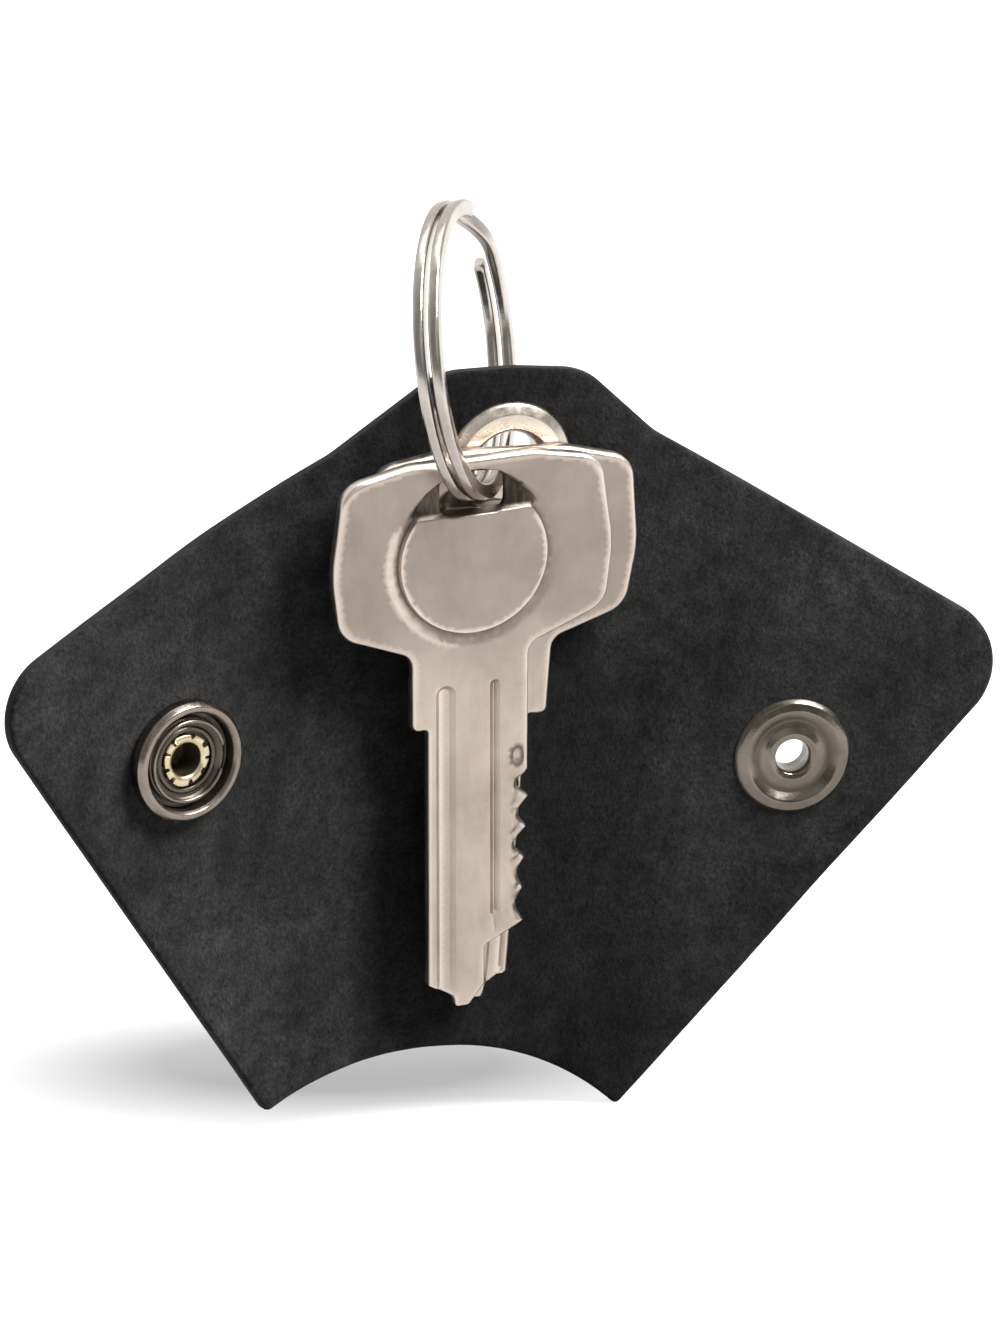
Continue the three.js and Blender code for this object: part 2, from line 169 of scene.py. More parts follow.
# Blade: grooves (u, top, bottom, width), cuts (half blade, crest, valleys), ledge (u, top, bottom, drop)
GROOVE_DEPTH = 0.5
GROOVE_WALL = 0.5
GROOVE_RUNOUT = 3
FRONT_GROOVES = [(-3.0, -20, -60, 2.1), (2.2, -20, -48, 1.1)]
BACK_GROOVES = [(-0.4, -20, -60, 1.5)]
CUT_TOP = -30.2
CUT_PITCH = 3.3
CUT_SHOULDER = 5.8
CUT_FLAT = 0.4
CUT_ROUND = 0.2
CREST_ROUND = 0.15
CREST_STEP = 0.2
FRONT_CUTS = (4.85, 6.2, [4.9, 5.1, 4.7, 5.0, 4.8])
BACK_CUTS = (4.4, 3.8, [2.8, 3.0, 2.6, 2.8, 2.5])
LEDGE = (3.9, -30.5, -47, 0.8)
LEDGE_SLOPE = 1.3
DIMPLE = (4.6, -28.6)
DIMPLE_STRETCH = 1.5
DIMPLE_DEPTH = 0.3

# Painted shade and painted highlights: colours, and how strong each is on the keys
PAINTED_SHADE = (0.035, 0.029, 0.024, 1)
PAINTED_HIGHLIGHT = (0.86, 0.77, 0.68, 1)
PAINTED_SHADE_ROUGH = (0.6, 0.6, 0.6, 1)
DISC_EDGE_SHADE = 0.75
MOAT_SHADE = 0.3
BOW_TOP_SHADE = 0.41
EYE_SHADE = 1.1
SHADE_LIMIT = 0.5
EDGE_HIGHLIGHT = 0.65
RIM_HIGHLIGHT = 0.7
MOAT_HIGHLIGHT = 0.5
GROOVE_HIGHLIGHT = 0.7
LEAST_HIGHLIGHT = 0.05

# Light levels: the floor's tone and its glow under the part and far off, over that span of metres
FLOOR_SIZE = 3
FLOOR_TONE = 0.37
FLOOR_GLOW = 0.455
FLOOR_FAR_GLOW = 1.0
FLOOR_FADE = (0.04, 0.4)
SKY_LIGHT = 0.06
ROOM_FRONT = 0.3
ROOM_SPAN = (-0.5, 0.4)

# Shadow on the floor: its middle and reach in metres, and how the floor lifts to white beyond it
SHADOW_MIDDLE = (-0.0059, 0.0183)
SHADOW_REACH = (0.038, 0.016)
SHADOW_LIFT = (-0.1, 0.45)
SHADOW_FADE = (0.45, 1.05)

# Lamps: place from their aim in metres, size and power
LAMP_AIM_FROM_EYELET = (0, 0, -0.03)
LAMPS = {
    "key_light": ((0.52, -0.4, 0.8), 0.52, 22),
    "fill_light": ((-0.3, -0.9, 0.6), 0.8, 0.7),
    "top_light": ((0.1, 0.3, 1.0), 0.8, 3),
}

# Camera, from the photograph
CAMERA_AZIMUTH = math.radians(-20.8)
CAMERA_PITCH = math.radians(22)
CAMERA_DISTANCE = 0.9
CAMERA_FOCAL_PIXELS = 9000
IMAGE_HEIGHT = 1333
SENSOR = 36
AIM_FROM_EYELET = (-0.0007, 0, -0.0216)


# Outlines

def arc_points(centre, radius, start, end, step):
    count = max(2, math.ceil(abs(end - start) * radius / step))
    angles = np.linspace(start, end, count + 1)
    return [(centre[0] + radius * math.cos(a), centre[1] + radius * math.sin(a)) for a in angles]


def rounded(corners, step=0.4):
    """A closed outline through corners (x, y, radius), each one rounded by an arc."""
    points = []
    for i, (x, y, radius) in enumerate(corners):
        if radius == 0:
            points.append((x, y))
            continue
        at = Vector((x, y))
        before = Vector(corners[i - 1][:2]) - at
        after = Vector(corners[(i + 1) % len(corners)][:2]) - at
        back, ahead = before.normalized(), after.normalized()
        half = back.angle(ahead) / 2
        radius = min(radius, 0.49 * min(before.length, after.length) * math.tan(half))
        centre = at + (back + ahead).normalized() * radius / math.sin(half)
        start = at + back * radius / math.tan(half) - centre
        end = at + ahead * radius / math.tan(half) - centre
        turn = start.angle_signed(end)
        first = math.atan2(start.y, start.x)
        points += arc_points(centre, radius, first, first - turn, step)
    return np.array(points)


def rectangle(width, height, corner, step):
    """A rounded rectangle about the origin."""
    signs = ((1, 1), (-1, 1), (-1, -1), (1, -1))
    return rounded([(a * width / 2, b * height / 2, corner) for a, b in signs], step)


def resampled(loop, step):
    """The loop with its long edges cut into pieces of about step."""
    points = []
    for a, b in zip(loop, np.roll(loop, -1, axis=0)):
        count = max(1, math.ceil(np.linalg.norm(b - a) / step))
        points += [a + (b - a) * k / count for k in range(count)]
    return np.array(points)


def signed_area(loop):
    after = np.roll(loop, -1, axis=0)
    return 0.5 * np.sum(loop[:, 0] * after[:, 1] - after[:, 0] * loop[:, 1])


def inset(loop, distance):
    """A closed loop moved inwards by distance, or outwards where it is negative."""
    ahead = np.roll(loop, -1, axis=0) - loop
    ahead = ahead / np.linalg.norm(ahead, axis=1)[:, None]
    inward = np.stack([-ahead[:, 1], ahead[:, 0]], 1) * np.sign(signed_area(loop))
    joined = inward + np.roll(inward, 1, axis=0)
    joined = joined / np.maximum(np.sum(joined * joined, axis=1), 0.6)[:, None] * 2
    return loop + joined * distance


def inside(points, loop):
    """Which points lie inside a closed loop."""
    x, y = points[:, 0], points[:, 1]
    found = np.zeros(len(points), bool)
    for (ax, ay), (bx, by) in zip(loop, np.roll(loop, -1, axis=0)):
        crosses = (ay > y) != (by > y)
        rise = by - ay if by != ay else 1e-12
        found ^= crosses & (x < (bx - ax) * (y - ay) / rise + ax)
    return found


def distance_to(points, loop):
    """Distance from each point to a closed loop."""
    best = np.full(len(points), np.inf)
    for a, b in zip(loop, np.roll(loop, -1, axis=0)):
        edge = b - a
        share = np.clip((points - a) @ edge / max(edge @ edge, 1e-12), 0, 1)
        best = np.minimum(best, np.linalg.norm(points - a - share[:, None] * edge, axis=1))
    return best


# Meshes

def new_object(name, vertices, faces, materials):
    mesh = bpy.data.meshes.new(name)
    mesh.from_pydata([tuple(v) for v in vertices], [], faces)
    mesh.validate()
    for material in materials:
        mesh.materials.append(material)
    mesh.shade_smooth()
    made = bpy.data.objects.new(name, mesh)
    bpy.context.scene.collection.objects.link(made)
    return made


def sharpen(made, degrees):
    """Splits the shading where two faces meet at more than that angle."""
    made.data.set_sharp_from_angle(angle=math.radians(degrees))


def tessellated(outline, holes, lines, spacing):
    """Points and triangles that fill an outline with holes, with edges along the given lines."""
    points, edges = [], []
    for loop, closed in [(outline, True), *[(h, True) for h in holes], *lines]:
        start = len(points)
        points += [tuple(p) for p in loop]
        last = len(loop) if closed else len(loop) - 1
        edges += [(start + i, start + (i + 1) % len(loop)) for i in range(last)]
    low, high = outline.min(0), outline.max(0)
    rows = np.arange(low[1], high[1], spacing * 0.866)
    columns = np.arange(low[0], high[0], spacing)
    grid = np.array([(x + (k % 2) * spacing / 2, y) for k, y in enumerate(rows) for x in columns])
    taken = np.array(points)
    clear = inside(grid, outline)
    for hole in holes:
        clear &= ~inside(grid, hole)
    grid = grid[clear]
    near = np.full(len(grid), np.inf)
    for p in taken:
        near = np.minimum(near, np.abs(grid - p).max(1))
    points += [tuple(p) for p in grid[near > 0.55 * spacing]]
    made = delaunay_2d_cdt([Vector(p) for p in points], edges, [], 0, 1e-5)
    flat = np.array([tuple(v) for v in made[0]])
    triangles = np.array([tuple(f) for f in made[2]])
    middle = flat[triangles].mean(1)
    keep = inside(middle, outline)
    for hole in holes:
        keep &= ~inside(middle, hole)
    return flat, triangles[keep]


def edge_rounding(distance, radius):
    """How far a face drops towards its edge, for a rounded edge."""
    short = np.clip(radius - distance, 0, radius)
    return radius - np.sqrt(radius * radius - short * short)


def edge_lines(loops, radius):
    """Lines that follow the rounded edges, inside each loop."""
    steps = [0.134 * radius, 0.5 * radius, radius]
    return [(inset(loop, step * way), True) for loop, way in loops for step in steps]


def plate_faces(triangles, count):
    """Front, back and rim faces of a plate whose back points follow the front ones."""
    faces = [tuple(int(i) for i in t) for t in triangles]
    faces += [tuple(int(i) + count for i in t[::-1]) for t in triangles]
    seen = {}
    for t in triangles:
        for a, b in ((t[0], t[1]), (t[1], t[2]), (t[2], t[0])):
            seen[(int(a), int(b))] = True
    rim = [(a, b) for a, b in seen if (b, a) not in seen]
    faces += [(b, a, a + count, b + count) for a, b in rim]
    return faces


# Materials

def nodes_of(name):
    material = bpy.data.materials.new(name)
    material.use_nodes = True
    tree = material.node_tree
    return material, tree, tree.nodes["Principled BSDF"]


def node(tree, kind, inputs=(), **settings):
    made = tree.nodes.new(kind)
    for key, value in settings.items():
        setattr(made, key, value)
    for key, value in dict(inputs).items():
        if isinstance(value, bpy.types.NodeSocket):
            tree.links.new(value, made.inputs[key])
        else:
            made.inputs[key].default_value = value
    return made


def place(tree, attribute):
    """Coordinates that stay with the surface: a stored place, or the object's own."""
    if attribute:
        return node(tree, "ShaderNodeAttribute", attribute_name=attribute).outputs["Vector"]
    return node(tree, "ShaderNodeTexCoord").outputs["Object"]


def noise_at(tree, at, scale, detail=3, rough=0.55, stretch=None):
    if stretch:
        at = node(tree, "ShaderNodeMapping", {"Vector": at, "Scale": stretch}).outputs["Vector"]
    inputs = {"Vector": at, "Scale": scale, "Detail": detail, "Roughness": rough}
    return node(tree, "ShaderNodeTexNoise", inputs).outputs["Fac"]


def ramp(tree, value, stops):
    made = node(tree, "ShaderNodeValToRGB", {"Fac": value})
    elements = made.color_ramp.elements
    while len(elements) < len(stops):
        elements.new(0.5)
    for element, (at, colour) in zip(elements, stops):
        element.position = at
        element.color = (*colour, 1) if len(colour) == 3 else (*colour * 3, 1)
    return made.outputs["Color"]


def mixed(tree, factor, a, b, how="MIX"):
    made = node(tree, "ShaderNodeMix", data_type="RGBA", blend_type=how)
    for index, value in ((0, factor), (6, a), (7, b)):
        if isinstance(value, bpy.types.NodeSocket):
            tree.links.new(value, made.inputs[index])
        else:
            made.inputs[index].default_value = value
    return made.outputs[2]


def combined(tree, how, a, b, clamp=False):
    """Two values put together by one step of arithmetic."""
    return node(tree, "ShaderNodeMath", {0: a, 1: b}, operation=how, use_clamp=clamp).outputs[0]


def to_range(tree, value, low, high, start=0.0, end=1.0):
    made = node(tree, "ShaderNodeMapRange", {
        "Value": value, "From Min": start, "From Max": end, "To Min": low, "To Max": high})
    return made.outputs["Result"]


def bump(tree, shader, layers):
    """Bumps from (height, distance in metres, strength), the coarse one first."""
    normal = None
    for height, distance, strength in layers:
        made = node(tree, "ShaderNodeBump", {"Height": height, "Distance": distance, "Strength": strength})
        if normal:
            tree.links.new(normal, made.inputs["Normal"])
        normal = made.outputs["Normal"]
    tree.links.new(normal, shader.inputs["Normal"])


def painted_fold_shade(tree, at):
    """Painted light across the cover: painted shade on the spine between the middle and the left fold, where
    the keys' shadow and the fold's crease fall, and lighter out on the wings.
    """
    outward = (-math.cos(FOLD_TILT), 0, -math.sin(FOLD_TILT))
    far = node(tree, "ShaderNodeVectorMath", {0: at, 1: outward}, operation="DOT_PRODUCT").outputs["Value"]
    span = to_range(tree, far, 0.0, 1.0, -0.06, 0.06)
    right = [(0.1, (1.0,)), (0.25, (0.88,)), (0.38, (0.8,)), (0.46, (0.45,))]
    left = [(0.53, (0.42,)), (0.62, (0.5,)), (0.7, (0.94,)), (0.82, (1.03,))]
    return ramp(tree, span, right + left)


def suede():
    """Napped inner face: mottled charcoal with brushed patches, specks and short fibres, and painted shade
    across the folds.
    """
    material, tree, shader = nodes_of("suede_inner_face")
    at = place(tree, "flat_place")
    patches = noise_at(tree, at, 55, 4, 0.6)
    streaks = noise_at(tree, at, 90, 4, 0.6, stretch=(1.6, 1, 0.45))
    mottle = noise_at(tree, at, 420, 5, 0.7)
    fibres = noise_at(tree, at, 2300, 4, 0.75)
    base = ramp(tree, patches, [(0.3, (0.0165, 0.0162, 0.0162)), (0.72, (0.038, 0.0368, 0.036))])
    brushed = ramp(tree, streaks, [(0.3, (0.72,)), (0.72, (1.3,))])
    speck = ramp(tree, mottle, [(0.3, (0.5,)), (0.72, (1.5,))])
    hairs = ramp(tree, fibres, [(0.3, (0.45,)), (0.72, (1.65,))])
    colour = mixed(tree, 1.0, mixed(tree, 1.0, base, brushed, "MULTIPLY"), speck, "MULTIPLY")
    colour = mixed(tree, 1.0, colour, hairs, "MULTIPLY")
    # Painted shade across the folds, darkest on the spine left of the middle.
    colour = mixed(tree, 1.0, colour, painted_fold_shade(tree, at), "MULTIPLY")
    tree.links.new(colour, shader.inputs["Base Color"])
    tree.links.new(to_range(tree, mottle, 0.88, 1.0), shader.inputs["Roughness"])
    shader.inputs["Specular IOR Level"].default_value = 0.05
    shader.inputs["Sheen Weight"].default_value = 0.05
    shader.inputs["Sheen Roughness"].default_value = 0.5
    bump(tree, shader, [(mottle, 0.0006, 0.45), (fibres, 0.0003, 0.7)])
    return material


def grain_leather():
    """Smooth outer face: fine pebbled grain with a soft dressing."""
    material, tree, shader = nodes_of("grain_outer_face")
    at = place(tree, "flat_place")
    cells = node(tree, "ShaderNodeTexVoronoi", {"Vector": at, "Scale": 1150, "Randomness": 1.0})
    cells = cells.outputs["Distance"]
    patches = noise_at(tree, at, 60, 4, 0.6)
    pores = noise_at(tree, at, 1900, 3, 0.6)
    base = ramp(tree, patches, [(0.3, (0.013, 0.0125, 0.012)), (0.75, (0.027, 0.026, 0.025))])
    crease = ramp(tree, cells, [(0.2, (1.15,)), (0.75, (0.6,))])
    tree.links.new(mixed(tree, 1.0, base, crease, "MULTIPLY"), shader.inputs["Base Color"])
    tree.links.new(to_range(tree, patches, 0.42, 0.62), shader.inputs["Roughness"])
    shader.inputs["Specular IOR Level"].default_value = 0.4
    bump(tree, shader, [(cells, 0.0004, 0.35), (pores, 0.0002, 0.3)])
    return material


def cut_edge():
    """Raw cut edge: layered fibres, a little lighter than the faces."""
    material, tree, shader = nodes_of("leather_cut_edge")
    at = place(tree, "flat_place")
    layers = noise_at(tree, at, 900, 4, 0.65, stretch=(1, 3.5, 1))
    colour = ramp(tree, layers, [(0.3, (0.012, 0.0118, 0.0115)), (0.75, (0.036, 0.0345, 0.033))])
    tree.links.new(colour, shader.inputs["Base Color"])
    tree.links.new(to_range(tree, layers, 0.75, 0.95), shader.inputs["Roughness"])
    shader.inputs["Specular IOR Level"].default_value = 0.25
    bump(tree, shader, [(layers, 0.0004, 0.5)])
    return material


def metal(name, dark, light, rough, brush=None, pits=0.25):
    """Plated metal: cloudy tone, fine rubbing marks, and the painted shade and painted highlights that a
    piece stores.
    """
    material, tree, shader = nodes_of(name)
    at = place(tree, None)
    cloud = noise_at(tree, at, 160, 4, 0.6)
    rub = noise_at(tree, at, 900, 4, 0.65, stretch=brush)
    fine = noise_at(tree, at, 4200, 2, 0.6, stretch=brush)
    tone = mixed(tree, 0.35, cloud, rub)
    clean = ramp(tree, tone, [(0.32, dark), (0.68, light)])
    # Stored painted light: painted shade above 0 darkens towards a dark colour, a painted highlight below 0
    # lightens towards a pale one.
    stored = node(tree, "ShaderNodeAttribute", attribute_name="painted_light").outputs["Fac"]
    patchy = to_range(tree, rub, 0.7, 1.0, 0.3, 0.7)
    painted_light = combined(tree, "MULTIPLY", stored, patchy)
    bright = combined(tree, "MULTIPLY", painted_light, -1.0, clamp=True)
    colour = mixed(tree, bright, mixed(tree, painted_light, clean, PAINTED_SHADE), PAINTED_HIGHLIGHT)
    tree.links.new(colour, shader.inputs["Base Color"])
    worn = to_range(tree, rub, rough[0], rough[1], 0.3, 0.7)
    tree.links.new(mixed(tree, painted_light, worn, PAINTED_SHADE_ROUGH), shader.inputs["Roughness"])
    shader.inputs["Metallic"].default_value = 1
    bump(tree, shader, [(rub, 0.00006, pits), (fine, 0.00003, pits)])
    return material


suede_face = suede()
grain_face = grain_leather()
edge_face = cut_edge()
key_nickel = metal("satin_nickel", (0.38, 0.315, 0.262), (0.55, 0.468, 0.4), (0.28, 0.42), (1, 1, 0.25), 0.3)
ring_nickel = metal("polished_nickel", (0.38, 0.34, 0.3), (0.58, 0.535, 0.485), (0.14, 0.25), None, 0.15)
eyelet_nickel = metal("worn_nickel", (0.46, 0.4, 0.335), (0.68, 0.61, 0.53), (0.22, 0.38), None, 0.3)
gunmetal = metal("dark_nickel", (0.115, 0.097, 0.081), (0.215, 0.187, 0.16), (0.15, 0.27))
rim_nickel = metal("rim_nickel", (0.18, 0.15, 0.125), (0.32, 0.275, 0.235), (0.2, 0.34))
socket_metal = metal("socket_well_nickel", (0.075, 0.064, 0.052), (0.15, 0.13, 0.11), (0.22, 0.36))
post_brass = metal("rolled_brass", (0.52, 0.43, 0.26), (0.78, 0.68, 0.48), (0.22, 0.36), None, 0.3)
spring_steel = metal("spring_wire", (0.16, 0.142, 0.12), (0.27, 0.242, 0.21), (0.2, 0.32), None, 0.15)


# Cover

eyelet_place = Vector(joints["cover_swing"]["pos_m"])
cover_frame = Matrix.Translation(eyelet_place) @ Matrix.Rotation(COVER_ROLL, 4, "Y")


def half_edge(half):
    """One half of the flat outline, from the lobe's corner round to the arch's top."""
    u, v, _ = half[-1]
    rise = ARCH_TOP - v
    radius = (u ** 2 + rise ** 2) / (2 * rise)
    centre = ARCH_TOP - radius
    reach = math.atan2(u, v - centre)
    turns = np.linspace(reach, 0, 17)[1:-1]
    arch = [(radius * math.sin(a), centre + radius * math.cos(a), 0) for a in turns]
    return [LOBE_CORNER, *half, *arch]


def cover_outline():
    """The whole flat outline, each half with its own corners."""
    left = [(-u, v, r) for u, v, r in half_edge(LEFT_HALF)[::-1]]
    corners = [(0, LOBE_TOP, 0), *half_edge(RIGHT_HALF), (0, ARCH_TOP, 0), *left]
    return resampled(rounded(corners), OUTLINE_STEP)[::-1]


def circle(u, v, radius, count=64):
    angles = np.arange(count) * 2 * math.pi / count
    return np.stack([u + radius * np.cos(angles), v + radius * np.sin(angles)], 1)


def across(flat, side):
    """Distance of flat points across one side's folds, and along them."""
    u, v = side * flat[:, 0], flat[:, 1] - FOLD_HEIGHT
    cosine, sine = math.cos(FOLD_TILT), math.sin(FOLD_TILT)
    return u * cosine - v * sine, u * sine + v * cosine


def smooth(value):
    value = np.clip(value, 0, 1)
    return value * value * (3 - 2 * value)


def bent(flat, depth, fold):
    """Flat points and their depths, bent along one side's folds, in the cover's own frame."""
    far, along = across(flat, fold["side"])
    steps = np.linspace(0, BEND_REACH, round(BEND_REACH / BEND_STEP) + 1)
    angle = np.zeros_like(steps)
    for line, degrees in zip((fold["first"], fold["second"]), fold["angles"]):
        share = (steps - line + fold["spread"]) / (2 * fold["spread"])
        angle += math.radians(degrees) * smooth(share)
    step = steps[1]
    run = np.concatenate([[0], np.cumsum(np.cos((angle[1:] + angle[:-1]) / 2) * step)])
    lift = np.concatenate([[0], np.cumsum(np.sin((angle[1:] + angle[:-1]) / 2) * step)])
    here = np.interp(far, steps, angle)
    reach = np.where(far > 0, np.interp(far, steps, run), far) + depth * np.sin(here)
    level = depth * np.cos(here) - np.interp(far, steps, lift)
    cosine, sine = math.cos(FOLD_TILT), math.sin(FOLD_TILT)
    u = fold["side"] * (reach * cosine + along * sine)
    v = FOLD_HEIGHT - reach * sine + along * cosine
    return np.stack([u, level, v], 1)


def to_world(points, matrix):
    """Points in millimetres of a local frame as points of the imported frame."""
    turned_points = np.array(points) * MM @ np.array(matrix.to_3x3()).T
    return turned_points + np.array(matrix.translation)


def fasteners():
    """Place, hole and flange of the eyelet and both snaps on the flat cover."""
    found = [(0, 0, EYELET_TUBE + FIT, EYELET_FLANGE)]
    for fold in (LEFT_FOLD, RIGHT_FOLD):
        u, v = fold["snap"]
        found.append((fold["side"] * u, v, POST_TUBE + FIT, SNAP_RADIUS))
    return found


def ripple(flat, length, seed):
    """A smooth random height at each flat point."""
    return np.array([noise.noise(Vector((u / length, v / length, seed))) for u, v in flat])


def leather_depths(flat, outline):
    """Depths of the inner and outer faces: rounded edges, seats under fasteners and a slight wave."""
    drop = edge_rounding(distance_to(flat, outline), EDGE_ROUND)
    seat = np.zeros(len(flat))
    calm = np.ones(len(flat))
    for u, v, _, flange in fasteners():
        away = np.hypot(flat[:, 0] - u, flat[:, 1] - v)
        seat = np.maximum(seat, 1 - smooth((away - flange + SEAT_INSIDE) / SEAT_SLOPE))
        calm = np.minimum(calm, smooth((away - flange) / CALM_REACH))
    wave = ripple(flat, WAVE_LENGTH, 3.1) * WAVE_HEIGHT * calm
    grainy = ripple(flat, NAP_LENGTH, 9.4) * NAP_HEIGHT * calm
    inner = drop - INNER_SEAT * seat + wave + grainy
    outer = LEATHER - drop + OUTER_SEAT * seat + wave
    return inner, outer


def seam_line(fold, distance):
    """A line across the cover at that distance across one side's folds."""
    cosine, sine = math.cos(FOLD_TILT), math.sin(FOLD_TILT)
    along = np.arange(-FOLD_LENGTH, FOLD_LENGTH, OUTLINE_STEP)
    u = fold["side"] * (distance * cosine + along * sine)
    v = FOLD_HEIGHT - distance * sine + along * cosine
    return np.stack([u, v], 1)


def clipped(line, outline):
    return line[inside(line, outline)]


def seam_place(fold):
    """The distance across the folds where the leather is split between two bending pieces."""
    return fold["first"] + 0.5 * (fold["second"] - fold["first"])


def cover():
    """One hide, split where it lies flat into four pieces, each of which bends over one fold."""
    outline = cover_outline()
    holes = [circle(u, v, hole) for u, v, hole, _ in fasteners()]
    down = np.linspace(*MIDDLE_SPAN, 90)
    middle = clipped(np.stack([np.zeros_like(down), down], 1), inset(outline, EDGE_ROUND))
    clear = EYELET_TUBE + FIT + 0.1
    seams = [middle[middle[:, 1] < -clear], middle[middle[:, 1] > clear]]
    for fold in (LEFT_FOLD, RIGHT_FOLD):
        seams.append(clipped(seam_line(fold, seam_place(fold)), inset(outline, EDGE_ROUND)))
    lines = [*edge_lines([(outline, 1)], EDGE_ROUND), *[(s, False) for s in seams]]
    flat, triangles = tessellated(outline, holes, lines, SHEET_SPACING)
    inner, outer = leather_depths(flat, outline)
    centre = flat[triangles].mean(1)
    for label, fold in (("left", LEFT_FOLD), ("right", RIGHT_FOLD)):
        own = fold["side"] * centre[:, 0] > 0
        beyond = across(centre, fold["side"])[0] > seam_place(fold)
        nodes_by_part = (("spine_panel", f"{label}_fold_strip"), (f"{label}_wing", f"{label}_fold_strip"))
        for part, (line, chosen) in enumerate((("first", own & ~beyond), ("second", own & beyond))):
            used, place_in = np.unique(triangles[chosen], return_inverse=True)
            faces = plate_faces(place_in.reshape(-1, 3), len(used))
            front = bent(flat[used], inner[used], fold)
            back = bent(flat[used], outer[used], fold)
            points = to_world(np.concatenate([front, back]), cover_frame)
            name = f"leather_{label}_{'middle' if part == 0 else 'wing'}"
            piece = new_object(name, points, faces, [suede_face, grain_face, edge_face])
            paint_sides(piece, len(place_in) // 3)
            flat_place = np.concatenate([np.insert(flat[used], 1, d[used], axis=1) for d in (inner, outer)])
            stored = piece.data.attributes.new("flat_place", "FLOAT_VECTOR", "POINT")
            stored.data.foreach_set("vector", (flat_place * MM).astype(np.float32).ravel())
            sharpen(piece, 50)
            edge_points = bent(*fold_ends(fold, line), fold)
            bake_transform(piece)
            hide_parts(*nodes_by_part[part])


def fold_ends(fold, line):
    """Flat points and depths where one bend starts and ends."""
    cosine, sine = math.cos(FOLD_TILT), math.sin(FOLD_TILT)
    ends = [fold[line] - fold["spread"], fold[line] + fold["spread"]]
    flat = np.array([(fold["side"] * e * cosine, FOLD_HEIGHT - e * sine) for e in ends])
    return flat, np.zeros(2)


def paint_sides(piece, triangle_count):
    """Suede on the front faces, grain on the back ones, cut edge on the rim."""
    index = np.zeros(len(piece.data.polygons), np.int32)
    index[triangle_count:] = 1
    index[2 * triangle_count:] = 2
    piece.data.polygons.foreach_set("material_index", index)


def wing_frame(fold):
    """Where a wing's flat coordinates lie at rest, after both of its folds."""
    made = cover_frame.copy()
    cosine, sine = math.cos(FOLD_TILT), math.sin(FOLD_TILT)
    axis = Vector((-sine, 0, -fold["side"] * cosine))
    for line, degrees in zip((fold["first"], fold["second"]), fold["angles"]):
        pivot = Vector((fold["side"] * cosine * line, 0, FOLD_HEIGHT - sine * line)) * MM
        made = made @ Matrix.Translation(pivot) @ Matrix.Rotation(math.radians(degrees), 4, axis)
        made = made @ Matrix.Translation(-pivot)
    return made


def snap_frame(fold):
    """Where a snap fastener's own axis stands on its wing."""
    u, v = fold["snap"]
    return wing_frame(fold) @ Matrix.Translation(Vector((fold["side"] * u, 0, v)) * MM)


# Turned fasteners

def lathe(name, profile, matrix, material, steps=TURNED_STEPS, shape=None):
    """A turned piece about its local Y axis, from a closed profile of (radius, depth, rounding)."""
    loop = rounded(profile, 0.07)
    angles = np.arange(steps) * 2 * math.pi / steps
    rings = []
    for angle in angles:
        section = loop if shape is None else shape(loop, angle)
        radius, depth = section[:, 0], section[:, 1]
        rings.append(np.stack([radius * math.cos(angle), depth, radius * math.sin(angle)], 1))
    count = len(loop)
    faces = []
    for i in range(steps):
        after = (i + 1) % steps
        for k in range(count):
            ahead = (k + 1) % count
            faces.append((i * count + k, i * count + ahead, after * count + ahead, after * count + k))
    made = new_object(name, to_world(np.concatenate(rings), matrix), faces, [material])
    mend(made)
    sharpen(made, 40)
    return made


def mend(made):
    """Merges points that coincide, drops empty faces and turns every face outwards."""
    shape = bmesh.new()
    shape.from_mesh(made.data)
    bmesh.ops.remove_doubles(shape, verts=shape.verts, dist=1e-7)
    bmesh.ops.dissolve_degenerate(shape, edges=shape.edges, dist=1e-7)
    bmesh.ops.recalc_face_normals(shape, faces=shape.faces)
    shape.to_mesh(made.data)
    shape.free()
    made.data.shade_smooth()


def store_painted_light(made, amounts):
    """Stores the painted light at each point: painted shade from 0 to 1, and a painted highlight where it is
    below 0.
    """
    stored = made.data.attributes.new("painted_light", "FLOAT", "POINT")
    stored.data.foreach_set("value", np.asarray(amounts, np.float32))


def turned_place(made, matrix):
    """Radius and depth of a turned piece's points, in millimetres."""
    points = np.array([tuple(v.co) for v in made.data.vertices])
    local = (points - np.array(matrix.translation)) @ np.array(matrix.to_3x3()) / MM
    return np.hypot(local[:, 0], local[:, 2]), local[:, 1]


def fit(made, body, slot, *nodes):
    """Puts a piece on its body, in the place of the nodes that it stands for."""
    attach(made, body)
    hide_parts(*nodes)
    return made


def eyelet():
    """Rolled barrel with its flange inside, and the washer that it is rolled over outside."""
    barrel = lathe("eyelet_rolled_barrel", [
        (EYELET_HOLE, 0.9, 0), (EYELET_HOLE, -0.45, 0.5), (4.0, -1.15, 0.5), (5.5, -1.15, 0.7),
        (6.5, -0.68, 0.5), (EYELET_FLANGE, -0.2, 0.06), (EYELET_TUBE, -0.2, 0),
        (EYELET_TUBE, LEATHER + 1, 0), (4.95, LEATHER + 0.95, 0.15), (5.0, LEATHER + 1.3, 0.2),
        (4.4, LEATHER + 1.5, 0.3), (3.65, LEATHER + 1.35, 0.3), (EYELET_HOLE, LEATHER + 0.7, 0.3),
    ], cover_frame, eyelet_nickel)
    fit(barrel, "spine", "nickel", "eyelet_barrel")
    washer = lathe("eyelet_back_washer", [
        (EYELET_TUBE + 0.1, BACK, 0), (6.15, BACK, 0.05), (6.1, LEATHER + 0.55, 0.15),
        (5.4, LEATHER + 0.92, 0.4), (EYELET_TUBE + 0.1, LEATHER + 0.88, 0),
    ], cover_frame, eyelet_nickel)
    fit(washer, "spine", "nickel", "eyelet_washer")


